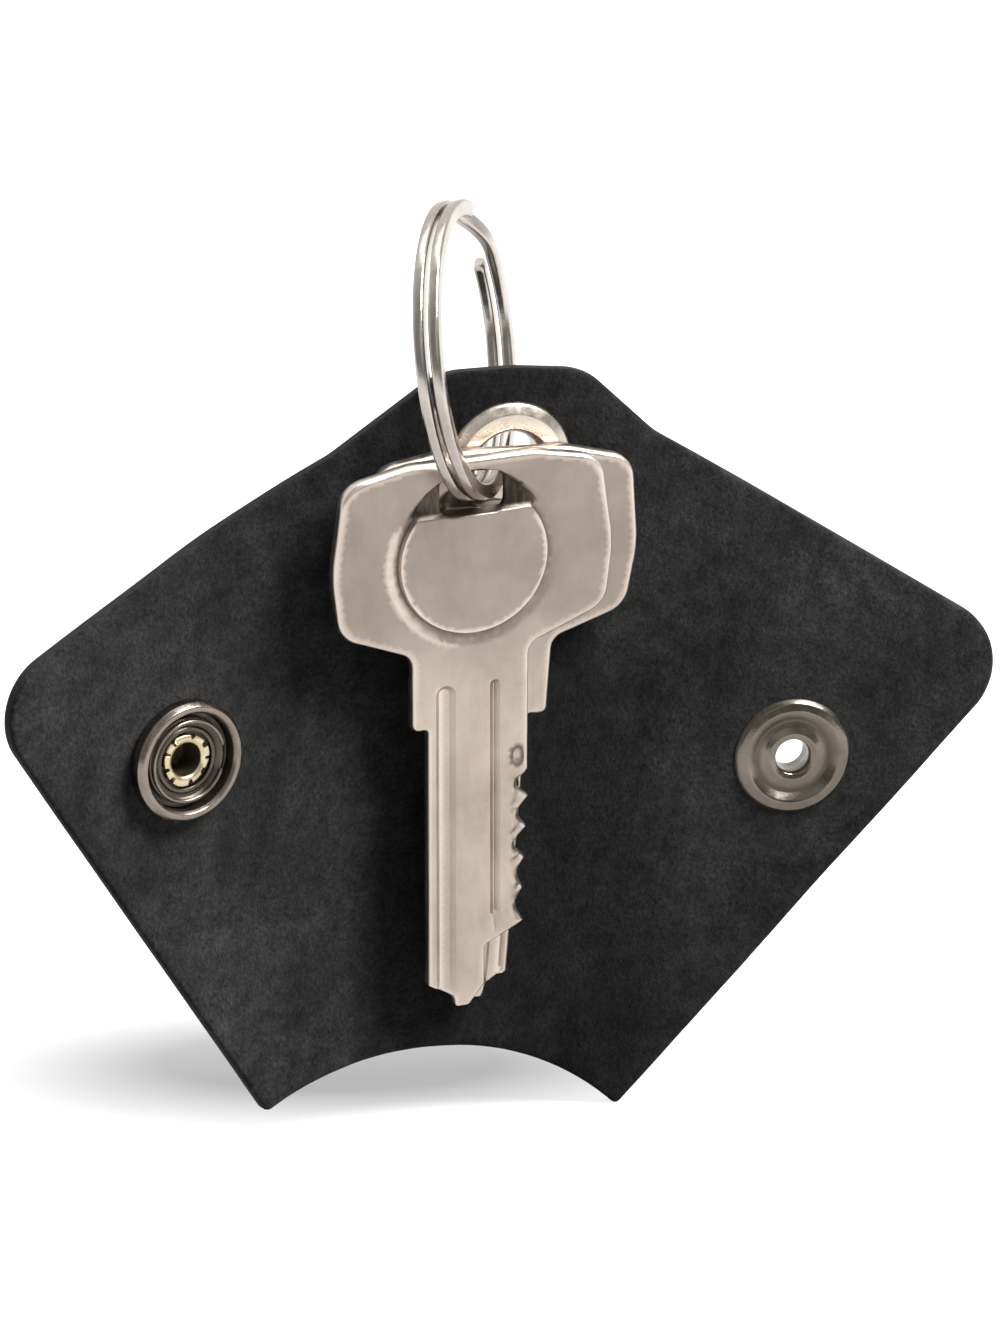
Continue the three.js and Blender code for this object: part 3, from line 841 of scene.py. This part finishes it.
def petals(loop, angle):
    """The rolled end of the cap's post, split by notches into uneven petals."""
    phase = angle * POST_NOTCHES / (2 * math.pi) + 0.16 * math.sin(2 * angle) + 0.1 * math.sin(5 * angle)
    off = abs(phase - round(phase)) * 2 * math.pi / POST_NOTCHES
    notch = 1 - smooth(np.array((off - NOTCH_HALF) / NOTCH_SOFT))
    swell = 1 + PETAL_SWELL * math.sin(3 * angle + 0.6)
    shaped = loop.copy()
    rolled = smooth((-loop[:, 1] - 0.55) / 0.2) * smooth((loop[:, 0] - POST_TUBE - 0.02) / 0.3)
    shaped[:, 0] = loop[:, 0] * (1 + rolled * (swell - 1)) - rolled * notch * NOTCH_DEPTH
    shaped[:, 1] = loop[:, 1] + rolled * notch * NOTCH_LIFT
    return shaped


def snap_socket():
    """Left snap: domed cap and post outside, sprung socket inside."""
    at = snap_frame(LEFT_FOLD)
    cap = lathe("snap_domed_cap", [
        (0, LEATHER + 2.45, 0), (3.6, LEATHER + 2.3, 4), (5.95, LEATHER + 1.3, 1.2),
        (6.25, BACK + 0.05, 0.25), (5.7, BACK + 0.05, 0.1), (5.5, LEATHER + 0.95, 0.4),
        (4.6, LEATHER + 1.5, 0.6), (0, LEATHER + 1.65, 0),
    ], at, gunmetal)
    fit(cap, "left_flap", "gunmetal", "snap_cap_shell")
    post = lathe("snap_flared_post", [
        (0, LEATHER + 1.3, 0), (4.3, LEATHER + 1.2, 0.4), (5.1, LEATHER + 0.8, 0.2),
        (5.1, BACK + 0.05, 0.05), (POST_TUBE, BACK + 0.05, 0), (POST_TUBE, -0.68, 0.05),
        (2.5, -0.68, 0.08), (2.74, -0.78, 0.08), (2.62, -1.02, 0.12), (2.15, -1.1, 0.15),
        (POST_BORE + 0.02, -0.9, 0.25), (POST_BORE, LEATHER + 0.5, 0), (0, LEATHER + 0.5, 0),
    ], at, post_brass, POST_STEPS, petals)
    radius, depth = turned_place(post, at)
    # Painted shade inside the post's bore.
    store_painted_light(post, smooth((POST_BORE + 0.12 - radius) / 0.1) * smooth((depth + 0.95) / 0.25))
    fit(post, "left_flap", "brass", "snap_cap_post")
    housing = lathe("socket_rolled_housing", [
        (POST_TUBE + FIT, -0.2, 0), (5.75, -0.2, 0.1), (SNAP_RADIUS, -0.5, 0.25), (SNAP_RADIUS, -1.55, 0.4),
        (5.8, -2.08, 0.3), (5.3, -2.1, 0.2), (5.06, -1.75, 0.15), (5.0, -0.5, 0.15),
        (POST_TUBE + FIT, -0.48, 0),
    ], at, rim_nickel)
    radius, depth = turned_place(housing, at)
    # Painted shade inside the socket's well.
    store_painted_light(housing, 0.85 * smooth((5.25 - radius) / 0.2) * smooth((depth + 1.9) / 0.4))
    fit(housing, "left_flap", "gunmetal", "socket_housing")
    base = lathe("socket_inner_plate", [
        (2.98, -0.64, 0), (4.45, -0.64, 0), (4.45, -1.0, 0.1), (4.15, -1.12, 0.12), (3.85, -0.9, 0.15),
        (3.5, -0.86, 0.12), (3.3, -1.06, 0.12), (2.98, -1.0, 0.06),
    ], at, socket_metal)
    radius, _ = turned_place(base, at)
    # Painted shade in the groove of the inner plate.
    store_painted_light(base, 0.7 * (1 - smooth(np.abs(radius - 3.65) / 0.35)))
    fit(base, "left_flap", "gunmetal", "socket_base")
    fit(socket_spring(at), "left_flap", "nickel", "socket_spring")


def socket_spring(at):
    """One open loop of round wire, just inside the socket's rim."""
    path = []
    for angle in np.linspace(SPRING_OPENING / 2, 2 * math.pi - SPRING_OPENING / 2, 91):
        path.append((SPRING_RADIUS * math.cos(angle), SPRING_DEPTH, SPRING_RADIUS * math.sin(angle)))
    return tube("socket_wire_spring", np.array(path), SPRING_WIRE, at, spring_steel)


def tube(name, path, radius, matrix, material, sides=12):
    """A round wire along a path, with rounded ends."""
    ahead = np.gradient(path, axis=0)
    ahead /= np.linalg.norm(ahead, axis=1)[:, None]
    up = np.array([0, 1.0, 0])
    across_wire = np.cross(ahead, up)
    points = []
    shrink = np.ones(len(path))
    shrink[[0, -1]] = 0.55
    shrink[[1, -2]] = 0.92
    for at, side, size in zip(path, across_wire, shrink):
        for k in range(sides):
            angle = 2 * math.pi * k / sides
            points.append(at + radius * size * (math.cos(angle) * side + math.sin(angle) * up))
    made = new_object(name, to_world(points, matrix), wire_faces(len(path), sides), [material])
    mend(made)
    sharpen(made, 60)
    return made


def wire_faces(count, sides):
    """Faces of a wire whose points follow each other ring by ring, with both ends closed."""
    faces = []
    for i in range(count - 1):
        for k in range(sides):
            after = (k + 1) % sides
            faces.append((i * sides + k, i * sides + after, (i + 1) * sides + after, (i + 1) * sides + k))
    faces.append(tuple(range(sides)))
    faces.append(tuple((count - 1) * sides + k for k in range(sides)))
    return faces


def snap_stud():
    """Right snap: open flanged post inside, stud outside."""
    at = snap_frame(RIGHT_FOLD)
    post = lathe("stud_flanged_post", [
        (POST_BORE, -0.1, 0.1), (POST_BORE + 0.15, -0.6, 0.22), (2.45, -0.75, 0.3), (3.1, -0.45, 0.4),
        (3.8, -0.25, 0.5), (4.8, -0.92, 0.5), (5.65, -0.7, 0.45), (SNAP_RADIUS, -0.2, 0.08),
        (POST_TUBE, -0.2, 0), (POST_TUBE, LEATHER + 0.75, 0), (2.4, LEATHER + 0.8, 0.05),
        (2.32, LEATHER + 1.0, 0.08), (1.95, LEATHER + 1.0, 0.08), (POST_BORE, LEATHER + 0.7, 0),
    ], at, gunmetal)
    radius, _ = turned_place(post, at)
    # Painted shade in the stud's ring valley and where its flange meets the leather.
    store_painted_light(post, 0.6 * (1 - smooth(np.abs(radius - 3.75) / 0.7)) + 0.5 * smooth((radius - 5.7) / 0.4))
    fit(post, "right_flap", "gunmetal", "stud_post")
    head = lathe("stud_rolled_head", [
        (POST_TUBE + FIT, BACK, 0), (5.65, BACK, 0.06), (5.6, LEATHER + 0.5, 0.12),
        (3.35, LEATHER + 0.62, 0.2), (3.0, LEATHER + 0.85, 0.15), (3.2, LEATHER + 1.25, 0.2),
        (2.9, LEATHER + 1.62, 0.2), (2.42, LEATHER + 1.6, 0.1), (2.6, LEATHER + 1.15, 0.15),
        (2.6, LEATHER + 0.45, 0.05), (POST_TUBE + FIT, LEATHER + 0.45, 0),
    ], at, gunmetal)
    fit(head, "right_flap", "gunmetal", "stud")


# Split ring

def split_ring():
    """Flat wire wound almost twice, with one jog between the layers."""
    turn = Matrix.Rotation(RING_YAW, 4, "Z") @ Matrix.Rotation(RING_TILT, 4, "Y")
    centre = turn @ Vector((0, 0, -(RING_RADIUS - WIRE_HEIGHT / 2) * MM))
    at = Matrix.Translation(centre) @ turn
    section = rectangle(WIRE_HEIGHT, WIRE_WIDTH, WIRE_ROUND, 0.09)
    total = JOG_START + 360
    turns = np.linspace(0, total, total // 2 + 1)
    points = []
    for degrees in turns:
        share = smooth(np.array((degrees - JOG_START) / (JOG_END - JOG_START)))
        layer = (WIRE_WIDTH + WIRE_GAP) * (share - 0.5)
        end = min(degrees, total - degrees) * math.radians(1) * RING_RADIUS
        size = WIRE_END + (1 - WIRE_END) * math.sqrt(smooth(np.array(end / WIRE_TAPER)))
        angle = math.radians(degrees) + JOG_TURN
        for a, b in section * size:
            radius = RING_RADIUS + a
            points.append((layer + b, radius * math.sin(angle), radius * math.cos(angle)))
    faces = wire_faces(len(turns), len(section))
    made = new_object("ring_wound_wire", to_world(points, at), faces, [ring_nickel])
    mend(made)
    sharpen(made, 50)
    fit(made, "ring", "nickel", "split_ring")


# Keys

def key_outline(cuts):
    """Outline of the bow, the neck and the blade with its cuts."""
    blade, crest, valleys = cuts
    edge = [(CUT_SHOULDER, CUT_TOP, CUT_ROUND)]
    for i, depth in enumerate(valleys):
        level = CUT_TOP - CUT_PITCH * (i + 0.5)
        edge += [(depth, level + CUT_FLAT, CUT_ROUND), (depth, level - CUT_FLAT, CUT_ROUND)]
        edge.append((crest - CREST_STEP * i, CUT_TOP - CUT_PITCH * (i + 1), CREST_ROUND))
    corners = [
        (-6.5, 3.7, 6), (-13.6, 2.2, 3), (-14.9, -7, 14), (-14.1, -13.6, 3), (-6.5, -16.6, 1.6),
        (-6.5, -24.6, 0.7), (-blade, -24.6, 0.3), (-blade, -52.4, 0.2), (-2.2, -54, 0.2),
        (-1.9, -55.1, 0.3), (-0.5, -55.1, 0.5), (1.2, -52.9, 0.3), (1.2, -48.8, 0.3), *edge[::-1],
        (5.9, -16.8, 1.6), (14.1, -13.6, 3), (14.9, -7, 14), (13.6, 2.2, 3), (6.5, 3.7, 6),
    ]
    return resampled(rounded(corners, 0.3), 0.4)


def eye_outline():
    """Round-topped recess above the disc, which frames the slot."""
    base = -SLOT[1] / 2
    dip = math.asin((base - RECESS_DROP) / RECESS_RADIUS)
    return np.array(arc_points((0, RECESS_DROP), RECESS_RADIUS, dip, math.pi - dip, 0.3))


def capsule(u, top, bottom, width):
    """Outline of a groove with round ends."""
    half = width / 2
    upper = arc_points((u, top - half), half, 0, math.pi, 0.2)
    lower = arc_points((u, bottom + half), half, math.pi, 2 * math.pi, 0.2)
    return resampled(np.array(upper + lower), 0.3)


def sunk(flat, outline, depth, wall):
    """Depth of a recess with sloping walls inside an outline."""
    within = np.where(inside(flat, outline), distance_to(flat, outline), 0)
    return depth * smooth(within / wall)


def key_relief(flat, outline, slot, grooves):
    """How far the key's face lies under its plane, at each flat point."""
    depth = edge_rounding(distance_to(flat, outline), KEY_EDGE)
    depth = depth + edge_rounding(distance_to(flat, slot), SLOT_EDGE)
    radius = np.hypot(flat[:, 0], flat[:, 1] - DISC_V)
    moat = MOAT_DEPTH * (1 - smooth((radius - DISC_RADIUS) / MOAT_WIDTH))
    disc = np.where(radius < DISC_RADIUS, 0, moat)
    lip = smooth((DISC_RADIUS - radius) / DISC_LIP)
    disc = np.where(radius < DISC_RADIUS, MOAT_DEPTH * (1 - lip) - DISC_RISE * lip, disc)
    share = sunk(flat, eye_outline(), 1, RECESS_WALL)
    depth = depth + disc * (1 - share) + RECESS_DEPTH * share
    for u, top, bottom, width in grooves:
        runout = smooth((flat[:, 1] - bottom) / GROOVE_RUNOUT)
        depth = depth + runout * sunk(flat, capsule(u, top, bottom, width), GROOVE_DEPTH, GROOVE_WALL)
    return depth


def key_painted_shade(flat):
    """Painted shade in the eye's recess, at the disc's edge and in its moat, darker towards the bow's top,
    and in a ring around the dimple.
    """
    radius = np.hypot(flat[:, 0], flat[:, 1] - DISC_V)
    line = DISC_EDGE_SHADE * (1 - smooth(np.abs(radius - DISC_RADIUS - 0.05) / 0.22))
    off = radius - DISC_RADIUS
    moat = MOAT_SHADE * smooth(off / 0.05) * (1 - smooth((off - 0.1) / MOAT_WIDTH))
    share = sunk(flat, eye_outline(), 1, 0.35)
    # Painted shade that darkens the bow towards its top.
    bow_top = BOW_TOP_SHADE * smooth((flat[:, 1] + 24) / 14)
    painted_light = np.maximum(np.maximum(line, moat), bow_top) * (1 - share) + EYE_SHADE * share
    away = np.hypot(flat[:, 0] - DIMPLE[0], (flat[:, 1] - DIMPLE[1]) / DIMPLE_STRETCH)
    return np.maximum(painted_light, 1 - smooth(np.abs(away - 0.6) / 0.25))


def key_painted_highlights(flat, outline):
    """Painted highlights along the edge, on the disc's rim, on the moat's left side and on the grooves' left
    walls.
    """
    u, v = flat[:, 0], flat[:, 1]
    edge = EDGE_HIGHLIGHT * (1 - smooth((distance_to(flat, outline) - 0.15) / 0.5))
    radius = np.hypot(u, v - DISC_V)
    rim = RIM_HIGHLIGHT * (1 - smooth(np.abs(radius - DISC_RADIUS + 0.3) / 0.25))
    leftward = np.clip(-u / np.maximum(radius, 1), 0, 1)
    moat = MOAT_HIGHLIGHT * leftward * (1 - smooth(np.abs(radius - DISC_RADIUS - 0.9) / 0.6))
    below = 1 - smooth((v + RECESS_RADIUS / 2) / 1.5)
    bright = np.maximum(edge, np.maximum(rim, moat) * below)
    for middle, top, bottom, width in FRONT_GROOVES:
        along = smooth((top - v) / 0.8) * smooth((v - bottom) / 0.8)
        wall = 1 - smooth(np.abs(u - middle + width / 4) / (width / 3))
        bright = np.maximum(bright, GROOVE_HIGHLIGHT * along * wall)
    return bright


def key_cuts(flat, valleys):
    """The milled ledge along the cut edge, its scoops and the dimple above it."""
    start, top, bottom, drop = LEDGE
    u, v = flat[:, 0], flat[:, 1]
    wave = 0.3 * np.sin(v * 1.9) + 0.15 * np.sin(v * 4.3 + 1)
    slope = np.clip((u - start - wave) / LEDGE_SLOPE, 0, 1)
    ledge = drop * slope * smooth((top - v) / 1.2) * smooth((v - bottom) / 1.6)
    for i, reach in enumerate(valleys):
        level = CUT_TOP - CUT_PITCH * (i + 0.5)
        away = np.hypot((u - reach - 0.5) / 1.2, v - level)
        ledge = np.maximum(ledge, drop * (1 - smooth((away - 0.4) / 0.9)))
    away = np.hypot(u - DIMPLE[0], (v - DIMPLE[1]) / DIMPLE_STRETCH)
    return np.maximum(ledge, DIMPLE_DEPTH * (1 - smooth((away - 0.35) / 0.3)))


def key(name, joint, shift, lean, flipped, cuts, body, node_name):
    """A flat key with a framed slot, a plain disc in a shallow moat, grooves and cuts."""
    outline = key_outline(cuts)
    slot = resampled(rectangle(*SLOT, 0.2), 0.4)
    steps = (-DISC_LIP, -0.1, 0, MOAT_WIDTH / 2, MOAT_WIDTH)
    lines = [(circle(0, DISC_V, DISC_RADIUS + step, 120), True) for step in steps]
    lines += [(eye_outline(), True), (inset(eye_outline(), RECESS_WALL), True)]
    lines += edge_lines([(outline, 1)], KEY_EDGE)
    lines += edge_lines([(slot, -1)], SLOT_EDGE)
    lines += [(circle(0, 0, r, 20) * (1, DIMPLE_STRETCH) + DIMPLE, True) for r in (0.35, 0.65)]
    for sizes in FRONT_GROOVES:
        groove = capsule(*sizes)
        lines += [(groove, True), (inset(groove, GROOVE_WALL), True)]
    kept = inside_lines(lines, outline)
    flat, triangles = tessellated(outline, [slot], kept, KEY_SPACING)
    front = key_relief(flat, outline, slot, FRONT_GROOVES) + key_cuts(flat, cuts[2]) - KEY_THICK / 2
    back = KEY_THICK / 2 - key_relief(flat, outline, slot, BACK_GROOVES)
    back = np.maximum(back, front + LEAST_WEB)
    faces = plate_faces(triangles, len(flat))
    way = -1 if flipped else 1
    points = [np.stack([way * flat[:, 0], depth, flat[:, 1]], 1) for depth in (front, back)]
    if flipped:
        faces = [f[::-1] for f in faces]
    at = Matrix.Translation(Vector(joints[joint]["pos_m"])) @ Matrix.Rotation(lean, 4, "Y")
    at = at @ Matrix.Translation(Vector((shift * MM, 0, 0)))
    made = new_object(name, to_world(np.concatenate(points), at), faces, [key_nickel])
    # Painted highlights along the edges, the disc's rim, the moat and the grooves.
    highlight = key_painted_highlights(flat, outline)
    # Painted shade in the recesses and towards the bow's top.
    painted_light = key_painted_shade(flat)
    bright = (highlight > LEAST_HIGHLIGHT) & (painted_light < SHADE_LIMIT)
    store_painted_light(made, np.tile(np.where(bright, -highlight, painted_light), 2))
    sharpen(made, 42)
    return fit(made, body, "nickel", node_name)


def inside_lines(lines, outline):
    """Lines with the points that leave the outline taken out."""
    kept = []
    for line, closed in lines:
        within = inside(line, outline)
        kept.append((line[within], closed and bool(within.all())))
    return kept


cover()
eyelet()
snap_socket()
snap_stud()
split_ring()
key("key_front", "front_key_swing", FRONT_KEY_SHIFT, 0, False, FRONT_CUTS, "front_key_body", "front_key")
key("key_back", "back_key_swing", BACK_KEY_SHIFT, BACK_KEY_LEAN, True, BACK_CUTS,
    "back_key_body", "back_key")


# Stage, light and camera

def seen_rays(tree):
    """One for rays that see the background: from the camera, in metal or through glass."""
    rays = node(tree, "ShaderNodeLightPath").outputs
    plain = combined(tree, "MAXIMUM", rays["Is Camera Ray"], rays["Is Glossy Ray"])
    return combined(tree, "MAXIMUM", plain, rays["Is Transmission Ray"])


def floor():
    """Plain pale floor that meets the cover's tips, with a shadow that fades to white."""
    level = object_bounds()[0].z
    size = FLOOR_SIZE
    corners = [(-size, -size, level), (size, -size, level), (size, size, level), (-size, size, level)]
    material, tree, shader = nodes_of("pale_floor")
    shader.inputs["Base Color"].default_value = (FLOOR_TONE, FLOOR_TONE, FLOOR_TONE, 1)
    shader.inputs["Roughness"].default_value = 0.9
    shader.inputs["Emission Color"].default_value = (1, 1, 1, 1)
    spot = node(tree, "ShaderNodeNewGeometry").outputs["Position"]
    middle = (eyelet_place.x, eyelet_place.y, level)
    away = node(tree, "ShaderNodeVectorMath", {0: spot, 1: middle}, operation="DISTANCE").outputs["Value"]
    glow = to_range(tree, away, FLOOR_GLOW, FLOOR_FAR_GLOW, *FLOOR_FADE)
    seen = combined(tree, "MULTIPLY", seen_rays(tree), glow)
    patch = node(tree, "ShaderNodeMapping", {
        "Vector": spot, "Location": (*SHADOW_MIDDLE, level), "Rotation": (0, 0, CAMERA_AZIMUTH),
        "Scale": (*SHADOW_REACH, 1)}, vector_type="TEXTURE").outputs["Vector"]
    out = node(tree, "ShaderNodeVectorMath", {0: patch}, operation="LENGTH").outputs["Value"]
    lift = to_range(tree, out, *SHADOW_LIFT, *SHADOW_FADE)
    straight = node(tree, "ShaderNodeLightPath").outputs["Is Camera Ray"]
    strength = combined(tree, "ADD", seen, combined(tree, "MULTIPLY", straight, lift))
    tree.links.new(strength, shader.inputs["Emission Strength"])
    new_object("floor", corners, [(0, 1, 2, 3)], [material])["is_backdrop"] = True


def lamp(name, place_at, target, size, power):
    """A round area lamp that faces its target."""
    data = bpy.data.lights.new(name, "AREA")
    data.shape = "DISK"
    data.size = size
    data.energy = power
    made = bpy.data.objects.new(name, data)
    made.location = place_at
    made.rotation_mode = "QUATERNION"
    made.rotation_quaternion = (Vector(target) - Vector(place_at)).to_track_quat("-Z", "Y")
    bpy.context.scene.collection.objects.link(made)


def studio():
    """White background that gives little light, mirrored dimmer towards the front, and three lamps."""
    world = bpy.data.worlds.new("studio")
    world.use_nodes = True
    tree = world.node_tree
    sky = tree.nodes["Background"]
    sky.inputs["Color"].default_value = (1, 1, 1, 1)
    facing = node(tree, "ShaderNodeTexCoord").outputs["Generated"]
    away = node(tree, "ShaderNodeSeparateXYZ", {"Vector": facing}).outputs["Y"]
    room = to_range(tree, away, ROOM_FRONT, 1.0, *ROOM_SPAN)
    rays = node(tree, "ShaderNodeLightPath").outputs
    mirrored = combined(tree, "MULTIPLY", rays["Is Glossy Ray"], room)
    straight = combined(tree, "MAXIMUM", rays["Is Camera Ray"], rays["Is Transmission Ray"])
    seen = combined(tree, "MAXIMUM", straight, mirrored)
    tree.links.new(combined(tree, "MAXIMUM", seen, SKY_LIGHT), sky.inputs["Strength"])
    bpy.context.scene.world = world
    aim = eyelet_place + Vector(LAMP_AIM_FROM_EYELET)
    for name, (offset, size, power) in LAMPS.items():
        lamp(name, aim + Vector(offset), aim, size, power)


def camera():
    """The photograph's view: far off, from the left and above."""
    data = bpy.data.cameras.new("photo_camera")
    data.sensor_width = SENSOR
    data.lens = SENSOR * CAMERA_FOCAL_PIXELS / IMAGE_HEIGHT
    data.clip_start = 0.05
    data.clip_end = 20
    made = bpy.data.objects.new("photo_camera", data)
    level = math.cos(CAMERA_PITCH)
    x = math.sin(CAMERA_AZIMUTH) * level
    y = -math.cos(CAMERA_AZIMUTH) * level
    back = Vector((x, y, math.sin(CAMERA_PITCH)))
    made.location = eyelet_place + Vector(AIM_FROM_EYELET) + back * CAMERA_DISTANCE
    made.rotation_mode = "QUATERNION"
    made.rotation_quaternion = (-back).to_track_quat("-Z", "Y")
    bpy.context.scene.collection.objects.link(made)
    bpy.context.scene.camera = made


floor()
studio()
camera()
bpy.context.scene.view_settings.view_transform = "Standard"
